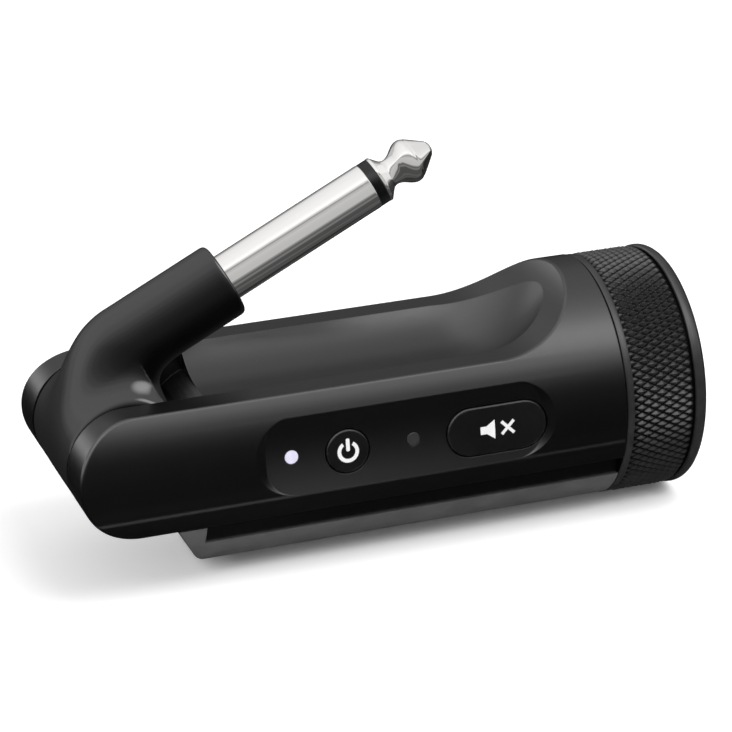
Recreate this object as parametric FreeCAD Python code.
import FreeCAD, Part
import math
import os

# Wireless instrument transmitter with a folding 6.35 mm mono jack plug, in millimetres.
# +X runs from the plug hinge towards the knurled grip, the control panel faces -Y and
# +Z is up.  The file origin is the centre of the flat face under the base rail, at z = 0.
#
# Solids are described in body coordinates: x from the hinge axis, y from the middle,
# z from the axis of the cylindrical body.  Names ending in _X and _Z are such positions,
# _R are radii and _HALF are half widths in y.
Vector = FreeCAD.Vector

AXIS_HEIGHT = 16.55                     # body axis above the flat underside
ORIGIN = Vector(-38.0, 0, AXIS_HEIGHT)  # body coordinates start here
BASE_Z = -AXIS_HEIGHT                   # flat underside

# ---------------------------------------------------------------- dimensions
BODY_R = 16.50
HINGE_Z = 1.30
NOSE_R = 8.00              # nose of the two ears, and the arm knuckle
DECK_Z = HINGE_Z + NOSE_R
SIDE_Z = HINGE_Z - NOSE_R  # lower edge of the sides
SEAM_X = 66.15             # end of the housing
CREASE_R = 0.45            # softened edge between deck and side
RISE_X, RISE_R = 49.5, 15.4  # concave rise behind the deck: start, radius
RISE_HEIGHT = 9.2

GAP_HALF = 9.60            # gap between the ears
KNUCKLE_HALF = 9.50        # arm knuckle
AXLE_R = 2.00
AXLE_BORE_R = AXLE_R + 0.03
AXLE_CAP_Y = 13.3          # inner end of the recess for the axle cap

# channel along the deck that the folded plug rests in
CRADLE_HALF = 9.80
CRADLE_FLOOR_Z = 5.60
CRADLE_BEND_X, CRADLE_BEND_R = 47.0, 17.0
CRADLE_END_X = 60.5

SKIRT_X = 8.50             # start of the groove between sides and rail
SKIRT_HALF = 12.90
SKIRT_Z = -9.30            # lower edge of the housing skirt
BASE_SCREW_X = (13.75, 60.2)

COLLAR_R, COLLAR_BORE_R = 13.6, 12.2  # collar that carries the grip
GRIP_BORE_R = COLLAR_R + 0.05

# Panel coordinates: x along the body, up the tilted panel, out from the body axis.
PANEL_TILT = math.radians(5.1)  # panel normal above the horizontal
PANEL_OUT = Vector(0, -math.cos(PANEL_TILT), math.sin(PANEL_TILT))
PANEL_UP = Vector(0, math.sin(PANEL_TILT), math.cos(PANEL_TILT))
PANEL_FACE = 15.65              # panel face from the body axis
PANEL_X0, PANEL_X1 = 15.1, 56.0
PANEL_LOW, PANEL_HIGH = -5.0, 5.2
POWER_X, POWER_UP, POWER_R = 27.5, -0.35, 2.90
MUTE_X, MUTE_UP = 48.05, -0.55
MUTE_LENGTH, MUTE_WIDTH = 13.8, 6.5
POWER_CENTRE = (POWER_X, POWER_UP)
MUTE_CENTRE = (MUTE_X, MUTE_UP)
POWER_LAMP = (19.95, 0.0)
MUTE_LAMP = (36.5, -0.2)
LAMP_R = 0.90
BUTTON_GAP = 0.16               # clearance around a button
POCKET_MARGIN = 0.95            # pocket behind the panel, beyond the button outline


# ------------------------------------------------------------------- helpers
def point(x, y, z):
    return ORIGIN + Vector(x, y, z)


def box(x0, x1, y0, y1, z0, z1):
    return Part.makeBox(x1 - x0, y1 - y0, z1 - z0, point(x0, y0, z0))


def cylinder_x(x0, x1, radius, y=0.0):
    return Part.makeCylinder(radius, x1 - x0, point(x0, y, 0), Vector(1, 0, 0))


def cylinder_z(x, z0, z1, radius):
    return Part.makeCylinder(radius, z1 - z0, point(x, 0, z0), Vector(0, 0, 1))


def hinge_cylinder(y0, y1, radius):
    return Part.makeCylinder(radius, y1 - y0, point(0, y0, HINGE_Z), Vector(0, 1, 0))


def tube_x(x0, x1, outer_r, inner_r):
    return cylinder_x(x0, x1, outer_r).cut(cylinder_x(x0 - 1, x1 + 1, inner_r))


def line(start, end):
    return Part.LineSegment(start, end).toShape()


def arc(start, middle, end):
    return Part.Arc(start, middle, end).toShape()


def polygon_face(points):
    return Part.Face(Part.makePolygon(points + [points[0]]))


def prism_y(outline, y0, y1):
    """Extrude an (x, z) outline."""
    return polygon_face([point(x, y0, z) for x, z in outline]).extrude(Vector(0, y1 - y0, 0))


def single_solid(shape):
    """Merge split faces and unwrap the result when it is one solid."""
    refined = shape.removeSplitter()
    return refined.Solids[0] if len(refined.Solids) == 1 else refined


def try_fillet(shape, radius, selects):
    """Fillet the selected edges, at a smaller radius or not at all if that fails."""
    for factor in (1, 0.7, 0.45):
        edges = [edge for edge in shape.Edges if selects(edge)]
        if not edges:
            return shape
        # guards against the kernel refusing a fillet at this radius
        try:
            filleted = shape.makeFillet(factor * radius, edges)
            if filleted.isValid() and len(filleted.Solids) == len(shape.Solids):
                return filleted
        except Exception:
            pass
    return shape


def centred_on(centre):
    """Edge selector for the circle around a centre."""
    return lambda edge: (edge.CenterOfMass - centre).Length < 1e-3


# ------------------------------------------------------------- panel helpers
def panel_point(x, up, out):
    return point(x, 0, 0) + PANEL_UP * up + PANEL_OUT * out


def panel_cylinder(centre, radius, out0, out1):
    return Part.makeCylinder(radius, out1 - out0, panel_point(*centre, out0), PANEL_OUT)


def rounded_wire(x0, x1, up0, up1, radius, out):
    corners = []
    for x, up, start_angle in ((x1 - radius, up0 + radius, -90), (x1 - radius, up1 - radius, 0),
                               (x0 + radius, up1 - radius, 90), (x0 + radius, up0 + radius, 180)):
        angles = [math.radians(start_angle + turn) for turn in (0, 45, 90)]
        corners.append([panel_point(x + radius * math.cos(angle), up + radius * math.sin(angle), out)
                        for angle in angles])
    edges = []
    for i, corner in enumerate(corners):
        edges += [line(corners[i - 1][2], corner[0]), arc(*corner)]
    return Part.Wire(edges)


def panel_block(x0, x1, up0, up1, radius, out0, out1):
    face = Part.Face(rounded_wire(x0, x1, up0, up1, radius, out0))
    return face.extrude(PANEL_OUT * (out1 - out0))


def panel_pad(centre, length, width, radius, out0, out1):
    x, up = centre
    return panel_block(x - length / 2, x + length / 2, up - width / 2, up + width / 2,
                       radius, out0, out1)


def panel_polygon(outline, out0, out1):
    face = polygon_face([panel_point(x, up, out0) for x, up in outline])
    return face.extrude(PANEL_OUT * (out1 - out0))


def power_outline(margin, out0, out1):
    return panel_cylinder(POWER_CENTRE, POWER_R + margin, out0, out1)


def mute_outline(margin, out0, out1):
    length, width = MUTE_LENGTH + 2 * margin, MUTE_WIDTH + 2 * margin
    # just short of a half circle, so the end lines keep some length
    return panel_pad(MUTE_CENTRE, length, width, width / 2 - 0.001, out0, out1)


# ------------------------------------------------------------------- housing
def rise_z(x):
    """Height of the deck, or of the concave rise behind it."""
    if x <= RISE_X:
        return DECK_Z
    return DECK_Z + RISE_R - math.sqrt(RISE_R ** 2 - (x - RISE_X) ** 2)


def outer_body():
    rise_end = RISE_X + math.sqrt(RISE_R ** 2 - (RISE_R - RISE_HEIGHT) ** 2)
    rise_middle = RISE_X + 0.55 * (rise_end - RISE_X)

    def corner(x, z):
        return point(x, -20, z)

    nose_low, nose_high = corner(0, SIDE_Z), corner(0, DECK_Z)
    rise_low, rise_high = corner(RISE_X, DECK_Z), corner(rise_end, rise_z(rise_end))
    seam_high, seam_low = corner(SEAM_X, rise_z(rise_end)), corner(SEAM_X, SIDE_Z)
    profile = Part.Face(Part.Wire([
        arc(nose_low, corner(-NOSE_R, HINGE_Z), nose_high),
        line(nose_high, rise_low),
        arc(rise_low, corner(rise_middle, rise_z(rise_middle)), rise_high),
        line(rise_high, seam_high),
        line(seam_high, seam_low),
        line(seam_low, nose_low),
    ]))
    body = cylinder_x(-12, SEAM_X, BODY_R).common(profile.extrude(Vector(0, 40, 0)))

    def is_crease(edge):
        # long edges between the deck, the nose or the rise and the round side
        centre = edge.CenterOfMass - ORIGIN
        return abs(centre.y) > 9.0 and centre.x < SEAM_X - 0.3

    def upper_crease(edge):
        return is_crease(edge) and (edge.CenterOfMass - ORIGIN).z > HINGE_Z - 2

    def lower_crease(edge):
        return is_crease(edge) and abs((edge.CenterOfMass - ORIGIN).z - SIDE_Z) < 0.05

    body = try_fillet(body, CREASE_R, upper_crease)
    return try_fillet(body, 0.2, lower_crease)


def cradle_z(x, y):
    """Height of the channel surface, which meets the deck or the rise at its rim."""
    floor, top = CRADLE_FLOOR_Z, DECK_Z
    past_bend = max(x - CRADLE_BEND_X, 0.0)
    if past_bend > 0:
        floor += CRADLE_BEND_R - math.sqrt(CRADLE_BEND_R ** 2 - past_bend ** 2)
        top = rise_z(x)
    reach = math.sqrt((y / CRADLE_HALF) ** 2
                      + (past_bend / (CRADLE_END_X - CRADLE_BEND_X)) ** 2)
    return floor + (top - floor) * reach ** 3.0


# x of the cross sections, closer together in the scoop at the grip end
CRADLE_STATIONS = [-14, -4, 8, 20, 30, 38, 43, 45.5, 47, 48.2, 49.4, 50.6, 51.8, 53, 54.2,
                   55.4, 56.6, 57.7, 58.7, 59.6, 60.5, 61.3]
CRADLE_COLUMNS = 32
CRADLE_CUT_HALF = 10.7
CRADLE_SPREAD = 1.15  # radians; packs the columns towards both rims


def cradle_cutter():
    columns = [CRADLE_CUT_HALF * math.sin((-1 + 2.0 * i / CRADLE_COLUMNS) * CRADLE_SPREAD)
               / math.sin(CRADLE_SPREAD) for i in range(CRADLE_COLUMNS + 1)]
    surface = Part.BSplineSurface()
    surface.interpolate([[point(x, y, cradle_z(x, y)) for y in columns]
                         for x in CRADLE_STATIONS])
    return surface.toShape().extrude(Vector(0, 0, 14))


# x, z above the hinge axis
KNUCKLE_POCKET = [
    (-14, 12), (-14, -14), (4.4, -14), (4.4, -8.2), (8.1, -4.6), (9.2, -2.2), (9.2, 0.6),
    (9.4, 1.7), (9.9, 2.6), (10.5, 3.1), (11.2, 3.6), (12.0, 4.05), (12.7, 4.3), (12.7, 12)]

# x, z
CAVITY_PROFILE = [(11.4, -9.4), (11.4, 0.6), (15.2, 4.1), (47, 4.1), (52, 4.95), (56, 7.1),
                  (60, 11.4), (62.6, 13.4), (72, 13.4), (72, -9.4)]
CAVITY_R = 14.40


def knuckle_pocket():
    return prism_y([(x, HINGE_Z + z) for x, z in KNUCKLE_POCKET], -GAP_HALF, GAP_HALF)


def housing_cavity():
    cavity = prism_y(CAVITY_PROFILE, -15, 15)
    cavity = cavity.common(cylinder_x(11, SEAM_X - 1.4, CAVITY_R))
    # keeps the walls solid beside the groove
    low_sides = box(0, 80, -16, -11.6, -12, -5.9).fuse(box(0, 80, 11.6, 16, -12, -5.9))
    return cavity.cut(low_sides)


def panel_recess():
    floor = rounded_wire(PANEL_X0 + 1.5, PANEL_X1 - 1.5, PANEL_LOW - 0.2, PANEL_HIGH + 0.2,
                         3.9, PANEL_FACE)
    rim = rounded_wire(PANEL_X0 - 1.7, PANEL_X1 + 1.7, PANEL_LOW - 2.3, PANEL_HIGH + 2.3,
                       6.6, PANEL_FACE + 1.8)
    return Part.makeLoft([floor, rim], True, True)


def make_housing():
    body = outer_body()
    body = body.fuse(box(SKIRT_X + 0.1, SEAM_X, -SKIRT_HALF, SKIRT_HALF, SKIRT_Z, SIDE_Z + 1.0))
    body = body.cut(knuckle_pocket())
    body = body.cut(housing_cavity())
    body = body.cut(panel_recess())
    # collar that carries the grip, and its root inside the housing
    collar = cylinder_x(SEAM_X, SEAM_X + 8.0, COLLAR_R)
    root = cylinder_x(SEAM_X - 1.45, SEAM_X, COLLAR_R).common(box(60, 80, -15, 15, SKIRT_Z, 15))
    body = body.fuse(collar.fuse(root).cut(cylinder_x(SEAM_X - 2, SEAM_X + 9, COLLAR_BORE_R)))
    body = body.cut(cylinder_x(SEAM_X - 2.6, SEAM_X + 9, COLLAR_BORE_R).common(
        box(60, 80, -13, 13, -9.4, 12.3)))
    # hinge holes: blind on the panel side, open on the other
    body = body.cut(hinge_cylinder(-12.7, -GAP_HALF + 0.2, AXLE_BORE_R))
    body = body.cut(hinge_cylinder(GAP_HALF - 0.2, AXLE_CAP_Y, AXLE_BORE_R))
    body = body.cut(hinge_cylinder(AXLE_CAP_Y, 20, 3.0))
    # openings of the buttons, each with a wider pocket behind, and of the lamps
    for outline in (power_outline, mute_outline):
        body = body.cut(outline(BUTTON_GAP, 13.0, 17.5))
        body = body.cut(outline(POCKET_MARGIN, 11.0, 14.35))
    for lamp in (POWER_LAMP, MUTE_LAMP):
        body = body.cut(panel_cylinder(lamp, LAMP_R + 0.03, 11.0, 17.5))
    # bosses for the base screws
    for x, top in zip(BASE_SCREW_X, (2.5, 11.9)):
        body = body.fuse(cylinder_z(x, SKIRT_Z, top, 2.3))
        body = body.cut(cylinder_z(x, SKIRT_Z - 1, SKIRT_Z + 6.2, 0.82))
    return single_solid(body.cut(cradle_cutter()))


# ----------------------------------------------------------------- base rail
RAIL_R = 16.46
RAIL_TOP_Z = SIDE_Z - 0.05  # top of the block at the hinge end
RAIL_SEAT_Z = -9.45         # top of the rail under the skirt
RAIL_X = 4.80               # start of the rail under the sides
FOOT_HALF = 9.0
FOOT_FLAT_HALF = 3.0        # flat underside

# slanted hinge end: x from RAIL_X, z
RAIL_NOSE = [(0, -6.75), (2.45, -11.4), (2.85, -12.15), (3.35, -12.85), (4.0, -13.5),
             (4.9, -14.15), (6.1, -14.9), (7.4, -15.6), (8.8, -16.2)]


def make_base_rail():
    foot_side_z = -math.sqrt(RAIL_R ** 2 - FOOT_HALF ** 2)
    foot_outline = [(-FOOT_HALF, foot_side_z), (-FOOT_FLAT_HALF, BASE_Z),
                    (FOOT_FLAT_HALF, BASE_Z), (FOOT_HALF, foot_side_z),
                    (FOOT_HALF, -8), (-FOOT_HALF, -8)]
    foot = polygon_face([point(0, y, z) for y, z in foot_outline]).extrude(Vector(SEAM_X, 0, 0))
    rail = cylinder_x(0, SEAM_X, RAIL_R).cut(
        box(-1, 70, -FOOT_HALF, FOOT_HALF, BASE_Z - 2, -8))
    rail = rail.fuse(foot)
    rail = rail.common(box(0, SEAM_X, -20, 20, BASE_Z - 1, RAIL_TOP_Z))
    side_outline = [(RAIL_X + x, z) for x, z in RAIL_NOSE]
    side_outline += [(RAIL_X + 10.4, BASE_Z - 0.2), (SEAM_X, BASE_Z - 0.2), (SEAM_X, RAIL_TOP_Z)]
    rail = rail.common(prism_y(side_outline, -20, 20))
    # seat of the housing skirt
    rail = rail.cut(box(SKIRT_X, 80, -20, 20, RAIL_SEAT_Z, 0))
    # hollow inside, with posts for the screws
    rail = rail.cut(cylinder_x(11.5, SEAM_X - 1.6, 14.6).common(
        box(0, 80, -11.2, 11.2, BASE_Z + 1.6, 0)))
    for x in BASE_SCREW_X:
        rail = rail.fuse(cylinder_z(x, BASE_Z + 1.0, RAIL_SEAT_Z, 2.6))
        rail = rail.cut(cylinder_z(x, BASE_Z - 1, BASE_Z + 20, 0.95))
        rail = rail.cut(cylinder_z(x, BASE_Z - 1, BASE_Z + 1.9, 1.7))
    return single_solid(rail)


def make_base_screws():
    socket_r, socket_z = 0.75, BASE_Z + 0.2
    screws = []
    for x in BASE_SCREW_X:
        screw = cylinder_z(x, BASE_Z + 0.45, BASE_Z + 1.75, 1.5)
        screw = screw.fuse(cylinder_z(x, BASE_Z + 1.7, SKIRT_Z + 5.6, 0.8))
        angles = [math.radians(60 * i + 30) for i in range(6)]
        hexagon = polygon_face([point(x + socket_r * math.cos(angle),
                                      socket_r * math.sin(angle), socket_z) for angle in angles])
        screws.append(single_solid(screw.cut(hexagon.extrude(Vector(0, 0, 0.85)))))
    return Part.makeCompound(screws)


# ---------------------------------------------------------------------- grip
GASKET_THICKNESS = 0.22    # space between housing and grip
GRIP_R = BODY_R
GRIP_END_X = 78.10
KNURL_X0, KNURL_X1 = 67.45, 75.85


def make_grip_ring():
    start = SEAM_X + GASKET_THICKNESS
    grip = cylinder_x(start, GRIP_END_X, GRIP_R)
    grip = try_fillet(grip, 1.35, centred_on(point(GRIP_END_X, 0, 0)))
    grip = grip.cut(cylinder_x(start - 1, GRIP_END_X + 1, GRIP_BORE_R))
    grip = grip.cut(cylinder_x(GRIP_END_X - 1.6, GRIP_END_X + 1, 14.6))
    # narrow groove before the end lip, and the shallow bed of the knurled band
    grip = grip.cut(tube_x(KNURL_X1, KNURL_X1 + 0.4, GRIP_R + 1, GRIP_R - 0.55))
    grip = grip.cut(tube_x(KNURL_X0, KNURL_X1, GRIP_R + 1, GRIP_R - 0.12))
    return single_solid(grip)


def make_seam_gasket():
    return tube_x(SEAM_X + 0.01, SEAM_X + GASKET_THICKNESS - 0.01, GRIP_R - 0.35, GRIP_BORE_R)


# ------------------------------------------------------- end cap and USB port
USB_WIDTH, USB_HEIGHT = 8.94, 3.26
USB_SHELL_X, USB_FLOOR_X = 70.3, 71.0


def usb_solid(x0, x1, margin):
    radius = USB_HEIGHT / 2 + margin
    side = USB_WIDTH / 2 + margin - radius
    port = box(x0, x1, -side, side, -radius, radius)
    port = port.fuse(cylinder_x(x0, x1, radius, -side))
    port = port.fuse(cylinder_x(x0, x1, radius, side))
    return single_solid(port)


def make_end_cap():
    face_x = GRIP_END_X - 0.25
    cap = cylinder_x(GRIP_END_X - 1.58, face_x, 14.56)
    cap = try_fillet(cap, 0.35, centred_on(point(face_x, 0, 0)))
    cap = cap.fuse(tube_x(GRIP_END_X - 2.6, GRIP_END_X - 1.5, 12.9, 11.8))
    return single_solid(cap.cut(usb_solid(60, 90, 0.12)))


def make_usb_shell():
    shell = usb_solid(USB_SHELL_X, GRIP_END_X - 0.45, 0.0)
    return single_solid(shell.cut(usb_solid(USB_FLOOR_X, 90, -0.3)))


def make_usb_tongue():
    return box(USB_FLOOR_X + 0.02, GRIP_END_X - 1.1, -3.34, 3.34, -0.35, 0.35)


def make_usb_board():
    disc = cylinder_x(69.2, USB_SHELL_X - 0.02, 11.6)
    return single_solid(disc.common(box(60, 90, -9.5, 9.5, -6.5, 6.5)))


# ------------------------------------------------------------------ controls
BUTTON_TOP = PANEL_FACE + 0.25
FLANGE_BOTTOM, FLANGE_TOP = 13.55, 14.10
FLANGE_MARGIN = 0.6  # beyond the button outline
ICON_SPAN = (BUTTON_TOP - 0.12, BUTTON_TOP + 0.02)


def power_icon():
    ring_up = POWER_UP - 0.05
    beyond = (BUTTON_TOP - 1, BUTTON_TOP + 1)
    ring = panel_cylinder((POWER_X, ring_up), 1.45, *ICON_SPAN)
    ring = ring.cut(panel_cylinder((POWER_X, ring_up), 0.97, *beyond))
    ring = ring.cut(panel_polygon([(POWER_X, ring_up), (POWER_X - 1.3, POWER_UP + 2.0),
                                   (POWER_X + 1.3, POWER_UP + 2.0)], *beyond))
    stem = panel_pad((POWER_X, POWER_UP + 0.87), 0.48, 1.70, 0.2, *ICON_SPAN)
    return [single_solid(ring), stem]


# loudspeaker outline: x, up from the button centre
SPEAKER = [(-2.35, -0.52), (-1.5, -0.52), (-0.35, -1.3), (-0.35, 1.3), (-1.5, 0.52),
           (-2.35, 0.52)]


def cross_bar(rise):
    """Bar of the cross beside the loudspeaker, slanting up (+) or down (-)."""
    run, width = 0.85, 0.4
    middle_x = MUTE_X + 1.45
    scale = width / 2 / math.hypot(2 * run, 2 * rise)
    side_x, side_up = -2 * rise * scale, 2 * run * scale
    start_x, start_up = middle_x - run, MUTE_UP - rise
    end_x, end_up = middle_x + run, MUTE_UP + rise
    return panel_polygon([(start_x + side_x, start_up + side_up), (end_x + side_x, end_up + side_up),
                          (end_x - side_x, end_up - side_up),
                          (start_x - side_x, start_up - side_up)], *ICON_SPAN)


def mute_icon():
    speaker = panel_polygon([(MUTE_X + x, MUTE_UP + up) for x, up in SPEAKER], *ICON_SPAN)
    return [speaker, single_solid(cross_bar(0.85).fuse(cross_bar(-0.85)))]


def make_button(outline, icon):
    def on_top(edge):
        return abs((edge.CenterOfMass - panel_point(0, 0, BUTTON_TOP)).dot(PANEL_OUT)) < 1e-3

    button = try_fillet(outline(0, 14.0, BUTTON_TOP), 0.28, on_top)
    button = button.fuse(outline(FLANGE_MARGIN, FLANGE_BOTTOM, FLANGE_TOP))
    for mark in icon:
        button = button.cut(mark)
    return single_solid(button)


def make_lens(centre):
    top = PANEL_FACE + 0.06
    lens = panel_cylinder(centre, LAMP_R, 12.15, top)
    return try_fillet(lens, 0.12, centred_on(panel_point(*centre, top)))


# --------------------------------------------------------------- electronics
BOARD_INNER, BOARD_OUTER = 10.2, 11.2  # board faces, out from the body axis
BOARD_SCREWS = ((18.0, -4.7), (56.0, -4.7))


def make_board():
    board = panel_block(15.6, 58.0, -6.4, 2.7, 0.8, BOARD_INNER, BOARD_OUTER)
    for centre in BOARD_SCREWS:
        board = board.cut(panel_cylinder(centre, 0.85, 9, 13))
    return single_solid(board)


def make_board_screws():
    screws = []
    for centre in BOARD_SCREWS:
        shank = panel_cylinder(centre, 0.8, 9.2, BOARD_OUTER + 0.03)
        head = panel_cylinder(centre, 1.45, BOARD_OUTER + 0.02, BOARD_OUTER + 0.75)
        screws.append(single_solid(shank.fuse(head)))
    return Part.makeCompound(screws)


def make_switch(centre):
    body = panel_pad(centre, 3.5, 3.5, 0.3, BOARD_OUTER + 0.01, 12.75)
    return single_solid(body.cut(panel_cylinder(centre, 0.95, 11.9, 14)))


def make_plunger(centre):
    return panel_cylinder(centre, 0.85, 12.3, FLANGE_BOTTOM - 0.02)


def make_leds():
    return Part.makeCompound([panel_pad(centre, 1.6, 0.8, 0.05, BOARD_OUTER + 0.01, 12.05)
                              for centre in (POWER_LAMP, MUTE_LAMP)])


def make_rf_shield():
    shield = panel_block(31.0, 45.0, -5.6, 1.8, 0.6, 8.85, BOARD_INNER - 0.01)
    return single_solid(shield.cut(panel_block(31.2, 44.8, -5.4, 1.6, 0.4, 9.05, 12)))


def make_antenna():
    return panel_block(50.5, 56.0, -1.0, 1.8, 0.2, 9.3, BOARD_INNER - 0.01)


def make_battery():
    start, end = 17.2, 56.8
    cell = box(start, end, -7.6, 10.2, -6.9, 0.6)
    return try_fillet(cell, 1.2, lambda edge: abs(edge.Length - (end - start)) < 0.05)


def make_battery_pad():
    return box(22, 52, -6.0, 8.6, -8.9, -6.92)


# -------------------------------------------------------------- folding plug
# Arm coordinates start at the hinge axis: along the plug, and off the hinge
# square to it, towards the plug axis.
PLUG_ANGLE = math.radians(26.2)  # plug above the deck
ARM_ALONG = Vector(math.cos(PLUG_ANGLE), 0, math.sin(PLUG_ANGLE))
ARM_OFF = Vector(-math.sin(PLUG_ANGLE), 0, math.cos(PLUG_ANGLE))
PLUG_OFFSET = 10.33  # plug axis from the hinge axis
PLUG_R = 3.175
SHANK_R = 3.00       # turned-down shank held in the elbow
ELBOW_R = 5.10
ELBOW_MOUTH = 23.8   # along the plug
SLEEVE_END = 46.1    # along the plug


def arm_point(along, off):
    return point(0, 0, HINGE_Z) + ARM_ALONG * along + ARM_OFF * off


def plug_cylinder(start, end, radius):
    return Part.makeCylinder(radius, end - start, arm_point(start, PLUG_OFFSET), ARM_ALONG)


def plug_revolve(profile):
    """Turn an (along, radius) profile about the plug axis."""
    face = polygon_face([arm_point(along, PLUG_OFFSET + radius) for along, radius in profile])
    return single_solid(face.revolve(arm_point(0, PLUG_OFFSET), ARM_ALONG, 360))


def signed_power(value, exponent):
    return math.copysign(abs(value) ** exponent, value)


def superellipse_wire(centre, axis, half_axis, half_y, squareness):
    count = 20
    points = []
    for i in range(count):
        angle = 2 * math.pi * i / count
        across = half_y * signed_power(math.cos(angle), 2.0 / squareness)
        outward = half_axis * signed_power(math.sin(angle), 2.0 / squareness)
        points.append(centre + Vector(0, 1, 0) * across + axis * outward)
    curve = Part.BSplineCurve()
    curve.interpolate(points, PeriodicFlag=True)
    return Part.Wire([curve.toShape()])


# inner point, outer point (both along, off), half width in y, squareness
ARM_SECTIONS = [
    ((4.6, -3.9), (-5.6, 1.2), 9.30, 4.5),
    ((7.3, -1.3), (-4.9, 5.9), 9.10, 3.8),
    ((8.6, 1.2), (-1.7, 10.3), 7.60, 2.9),
    ((9.7, 3.2), (2.0, 13.5), 6.10, 2.3),
    ((11.3, 4.6), (6.6, 15.25), 5.25, 2.0),
    ((14.2, 5.16), (13.9, 15.50), 5.17, 2.0),
]


def arm_neck():
    wires = []
    for inner, outer, half_y, squareness in ARM_SECTIONS:
        inner_point, outer_point = arm_point(*inner), arm_point(*outer)
        axis = outer_point - inner_point
        half_axis = axis.Length / 2
        axis.normalize()
        wires.append(superellipse_wire((inner_point + outer_point) * 0.5, axis, half_axis,
                                       half_y, squareness))
    return Part.makeLoft(wires, True, False)


def make_arm():
    neck = arm_neck()
    elbow = plug_cylinder(12.2, ELBOW_MOUTH, ELBOW_R)
    elbow = try_fillet(elbow, 0.5, centred_on(arm_point(ELBOW_MOUTH, PLUG_OFFSET)))
    arm = hinge_cylinder(-KNUCKLE_HALF, KNUCKLE_HALF, NOSE_R)
    arm = try_fillet(arm, 0.35, lambda edge: edge.Length > 40)
    arm = arm.fuse(neck)
    arm = arm.fuse(elbow)
    arm = arm.common(box(-30, 60, -KNUCKLE_HALF, KNUCKLE_HALF, BASE_Z, BASE_Z + 120))
    arm = arm.cut(plug_cylinder(10.8, ELBOW_MOUTH + 2, SHANK_R + 0.02))
    arm = arm.cut(hinge_cylinder(-12, 12, AXLE_BORE_R))
    # washer recesses
    for y0, y1 in ((-12, -8.7), (8.7, 12)):
        arm = arm.cut(hinge_cylinder(y0, y1, 5.05))
    return single_solid(arm)


def make_sleeve():
    shoulder = ELBOW_MOUTH + 0.02
    return plug_revolve([(10.9, 2.0), (10.9, SHANK_R), (shoulder, SHANK_R), (shoulder, PLUG_R),
                         (SLEEVE_END - 0.12, PLUG_R), (SLEEVE_END, PLUG_R - 0.12),
                         (SLEEVE_END, 2.0)])


def make_plug_insulator():
    start, end, rim_r = SLEEVE_END + 0.02, SLEEVE_END + 1.28, PLUG_R - 0.04
    return plug_revolve([(11.2, 1.30), (11.2, 1.98), (start, 1.98), (start, rim_r),
                         (end, rim_r), (end, 1.30)])


# along from the sleeve end, radius
TIP_PROFILE = [
    (1.30, 1.28), (1.30, 3.10), (1.45, PLUG_R), (1.66, PLUG_R), (2.1, 2.86), (3.0, 2.08),
    (3.3, 1.90), (3.7, 1.84), (4.1, 1.93), (4.6, 2.22), (5.05, 2.62), (5.45, 2.96),
    (5.85, 3.13), (6.25, 3.16), (6.6, 3.06), (6.95, 2.84), (9.05, 1.18), (9.35, 0.88),
    (9.55, 0.55), (9.6, 0.0)]


def make_plug_tip():
    rod = [(11.4, 0.0), (11.4, 1.28)]
    return plug_revolve(rod + [(SLEEVE_END + along, radius) for along, radius in TIP_PROFILE])


def make_axle():
    return try_fillet(hinge_cylinder(-12.6, 13.2, AXLE_R), 0.3, lambda edge: True)


def make_axle_cap():
    cap = hinge_cylinder(AXLE_CAP_Y + 0.02, 20, 2.97)
    return single_solid(cap.common(cylinder_x(-12, 12, BODY_R - 0.06)))


def make_washers():
    bore = hinge_cylinder(-12, 12, AXLE_R + 0.06)
    return Part.makeCompound([hinge_cylinder(y0, y1, 5.0).cut(bore)
                              for y0, y1 in ((-9.56, -8.72), (8.72, 9.56))])


# -------------------------------------------------------------------- export
NODES = {
    "housing_shell": make_housing,
    "base_rail": make_base_rail,
    "base_screws": make_base_screws,
    "grip_ring": make_grip_ring,
    "seam_gasket": make_seam_gasket,
    "end_cap": make_end_cap,
    "usb_shell": make_usb_shell,
    "usb_tongue": make_usb_tongue,
    "usb_board": make_usb_board,
    "power_button": lambda: make_button(power_outline, power_icon()),
    "power_icon": lambda: Part.makeCompound(power_icon()),
    "power_plunger": lambda: make_plunger(POWER_CENTRE),
    "power_switch": lambda: make_switch(POWER_CENTRE),
    "power_lamp_lens": lambda: make_lens(POWER_LAMP),
    "mute_button": lambda: make_button(mute_outline, mute_icon()),
    "mute_icon": lambda: Part.makeCompound(mute_icon()),
    "mute_plunger": lambda: make_plunger(MUTE_CENTRE),
    "mute_switch": lambda: make_switch(MUTE_CENTRE),
    "mute_lamp_lens": lambda: make_lens(MUTE_LAMP),
    "status_leds": make_leds,
    "main_board": make_board,
    "board_screws": make_board_screws,
    "rf_shield": make_rf_shield,
    "antenna_block": make_antenna,
    "battery_cell": make_battery,
    "battery_pad": make_battery_pad,
    "swivel_arm": make_arm,
    "plug_sleeve": make_sleeve,
    "plug_insulator": make_plug_insulator,
    "plug_tip": make_plug_tip,
    "hinge_axle": make_axle,
    "axle_cap": make_axle_cap,
    "friction_washers": make_washers,
}

os.makedirs("parts", exist_ok=True)
for name, make in NODES.items():
    make().exportStep("parts/" + name + ".step")
